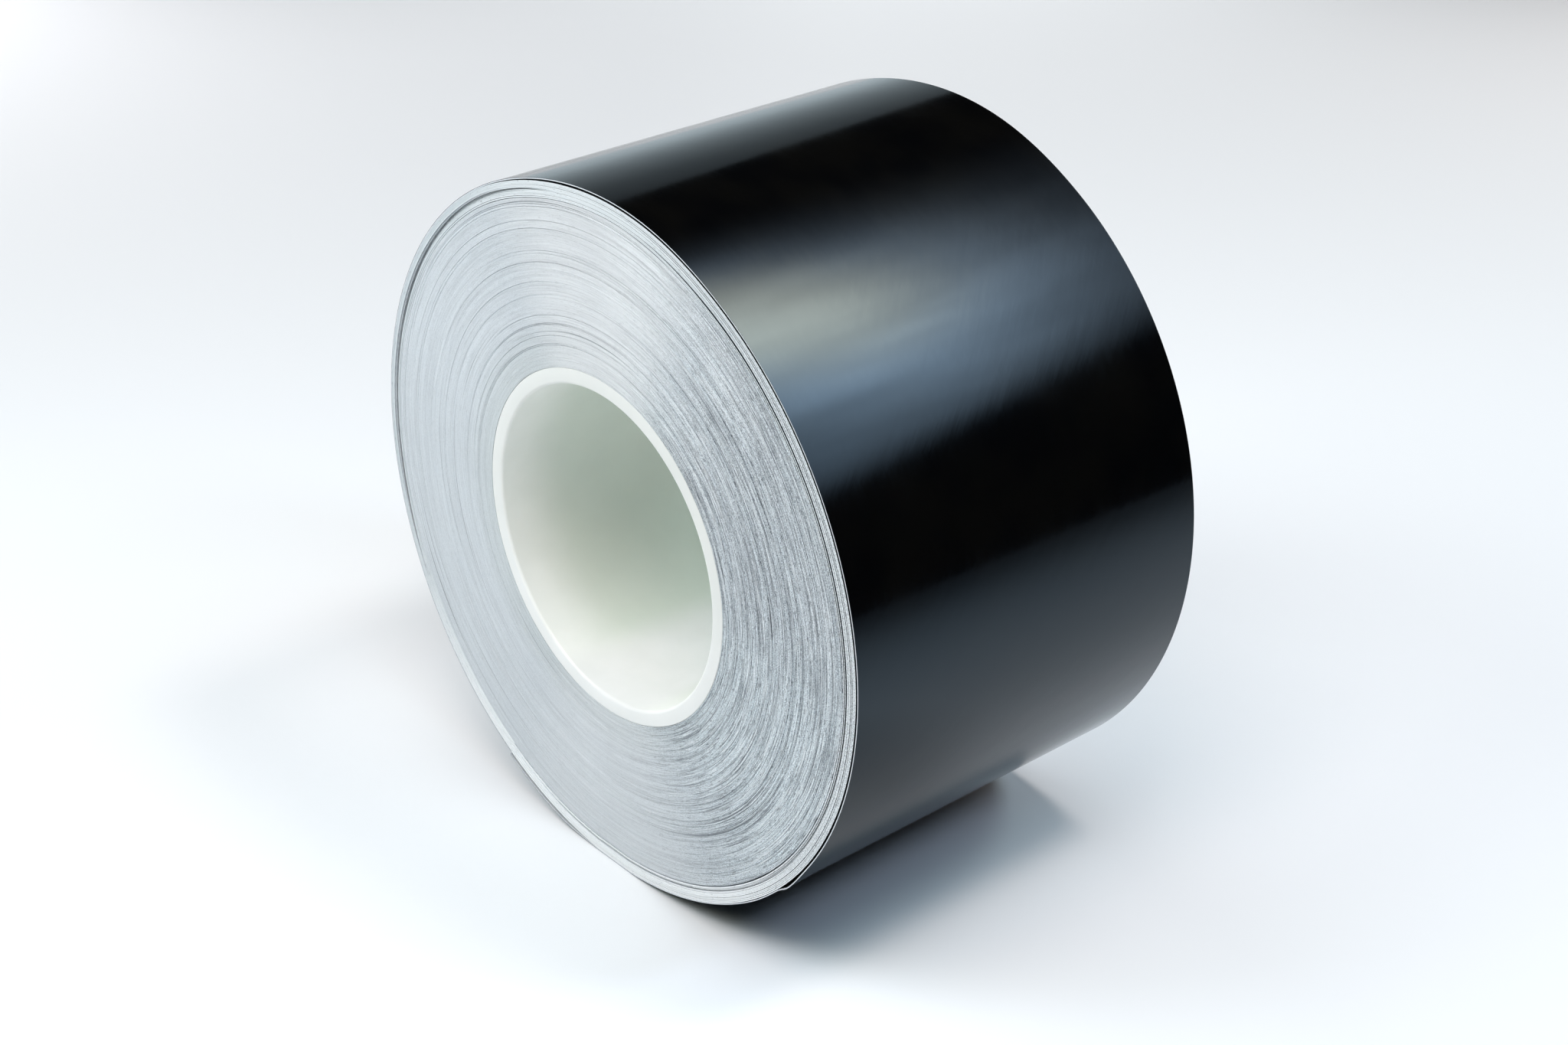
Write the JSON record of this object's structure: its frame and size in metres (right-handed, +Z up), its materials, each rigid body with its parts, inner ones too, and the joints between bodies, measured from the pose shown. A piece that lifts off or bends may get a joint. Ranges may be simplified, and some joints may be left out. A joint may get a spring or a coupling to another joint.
{
  "type": "duct tape roll",
  "caption": "Wide roll of black adhesive tape on a white plastic core, standing on its curved side, with its free end lifted.",
  "frame": {"origin": "middle of the bore, on the roll's axis, halfway between the end faces", "axes": "+Y along the roll's axis from the front end face to the back, +Z up from the flat that the roll stands on, +X to the right seen from the front"},
  "size_m": [0.1688, 0.1, 0.1688],
  "materials": {
    "core_plastic": "smooth satin white moulded plastic",
    "dense_cut_edges": "cut edges of tightly wound tape, silver grey, finely lined",
    "cut_edges": "cut edges of wound tape, pale silver, finely lined",
    "adhesive_ply": "pale silver-grey adhesive-coated ply",
    "backing_film": "smooth glossy black film"
  },
  "bodies": {
    "roll": {"core_tube": "core_plastic", "wound_turns_inner": "dense_cut_edges", "wound_turns_middle": "cut_edges", "wound_turns_outer": "cut_edges", "loose_turns_1": "cut_edges", "loose_turns_2": "cut_edges", "loose_turns_3": "cut_edges", "outermost_turn_film": "backing_film", "outermost_turn_adhesive": "adhesive_ply"},
    "tail_1": {"tail_1_film": "backing_film", "tail_1_adhesive": "adhesive_ply"},
    "tail_2": {"tail_2_film": "backing_film", "tail_2_adhesive": "adhesive_ply"},
    "tail_3": {"tail_3_film": "backing_film", "tail_3_adhesive": "adhesive_ply"}
  },
  "joints": [
    {"name": "tail_bend_1", "type": "hinge", "parent": "roll", "child": "tail_1", "pos_m": [-0.01327, 0, -0.0838], "axis": [0, -1, 0], "range_deg": [0, 9], "stiffness_Nm_per_rad": 0.004},
    {"name": "tail_bend_2", "type": "hinge", "parent": "tail_1", "child": "tail_2", "pos_m": [-0.02305, 0, -0.08217], "axis": [0, -1, 0], "range_deg": [0, 9], "stiffness_Nm_per_rad": 0.004},
    {"name": "tail_bend_3", "type": "hinge", "parent": "tail_2", "child": "tail_3", "pos_m": [-0.03243, 0, -0.07894], "axis": [0, -1, 0], "range_deg": [0, 9], "stiffness_Nm_per_rad": 0.004}
  ],
  "couplings": [
    {"joint": "tail_bend_2", "follows": "tail_bend_1", "ratio": 1},
    {"joint": "tail_bend_3", "follows": "tail_bend_1", "ratio": 1}
  ]
}
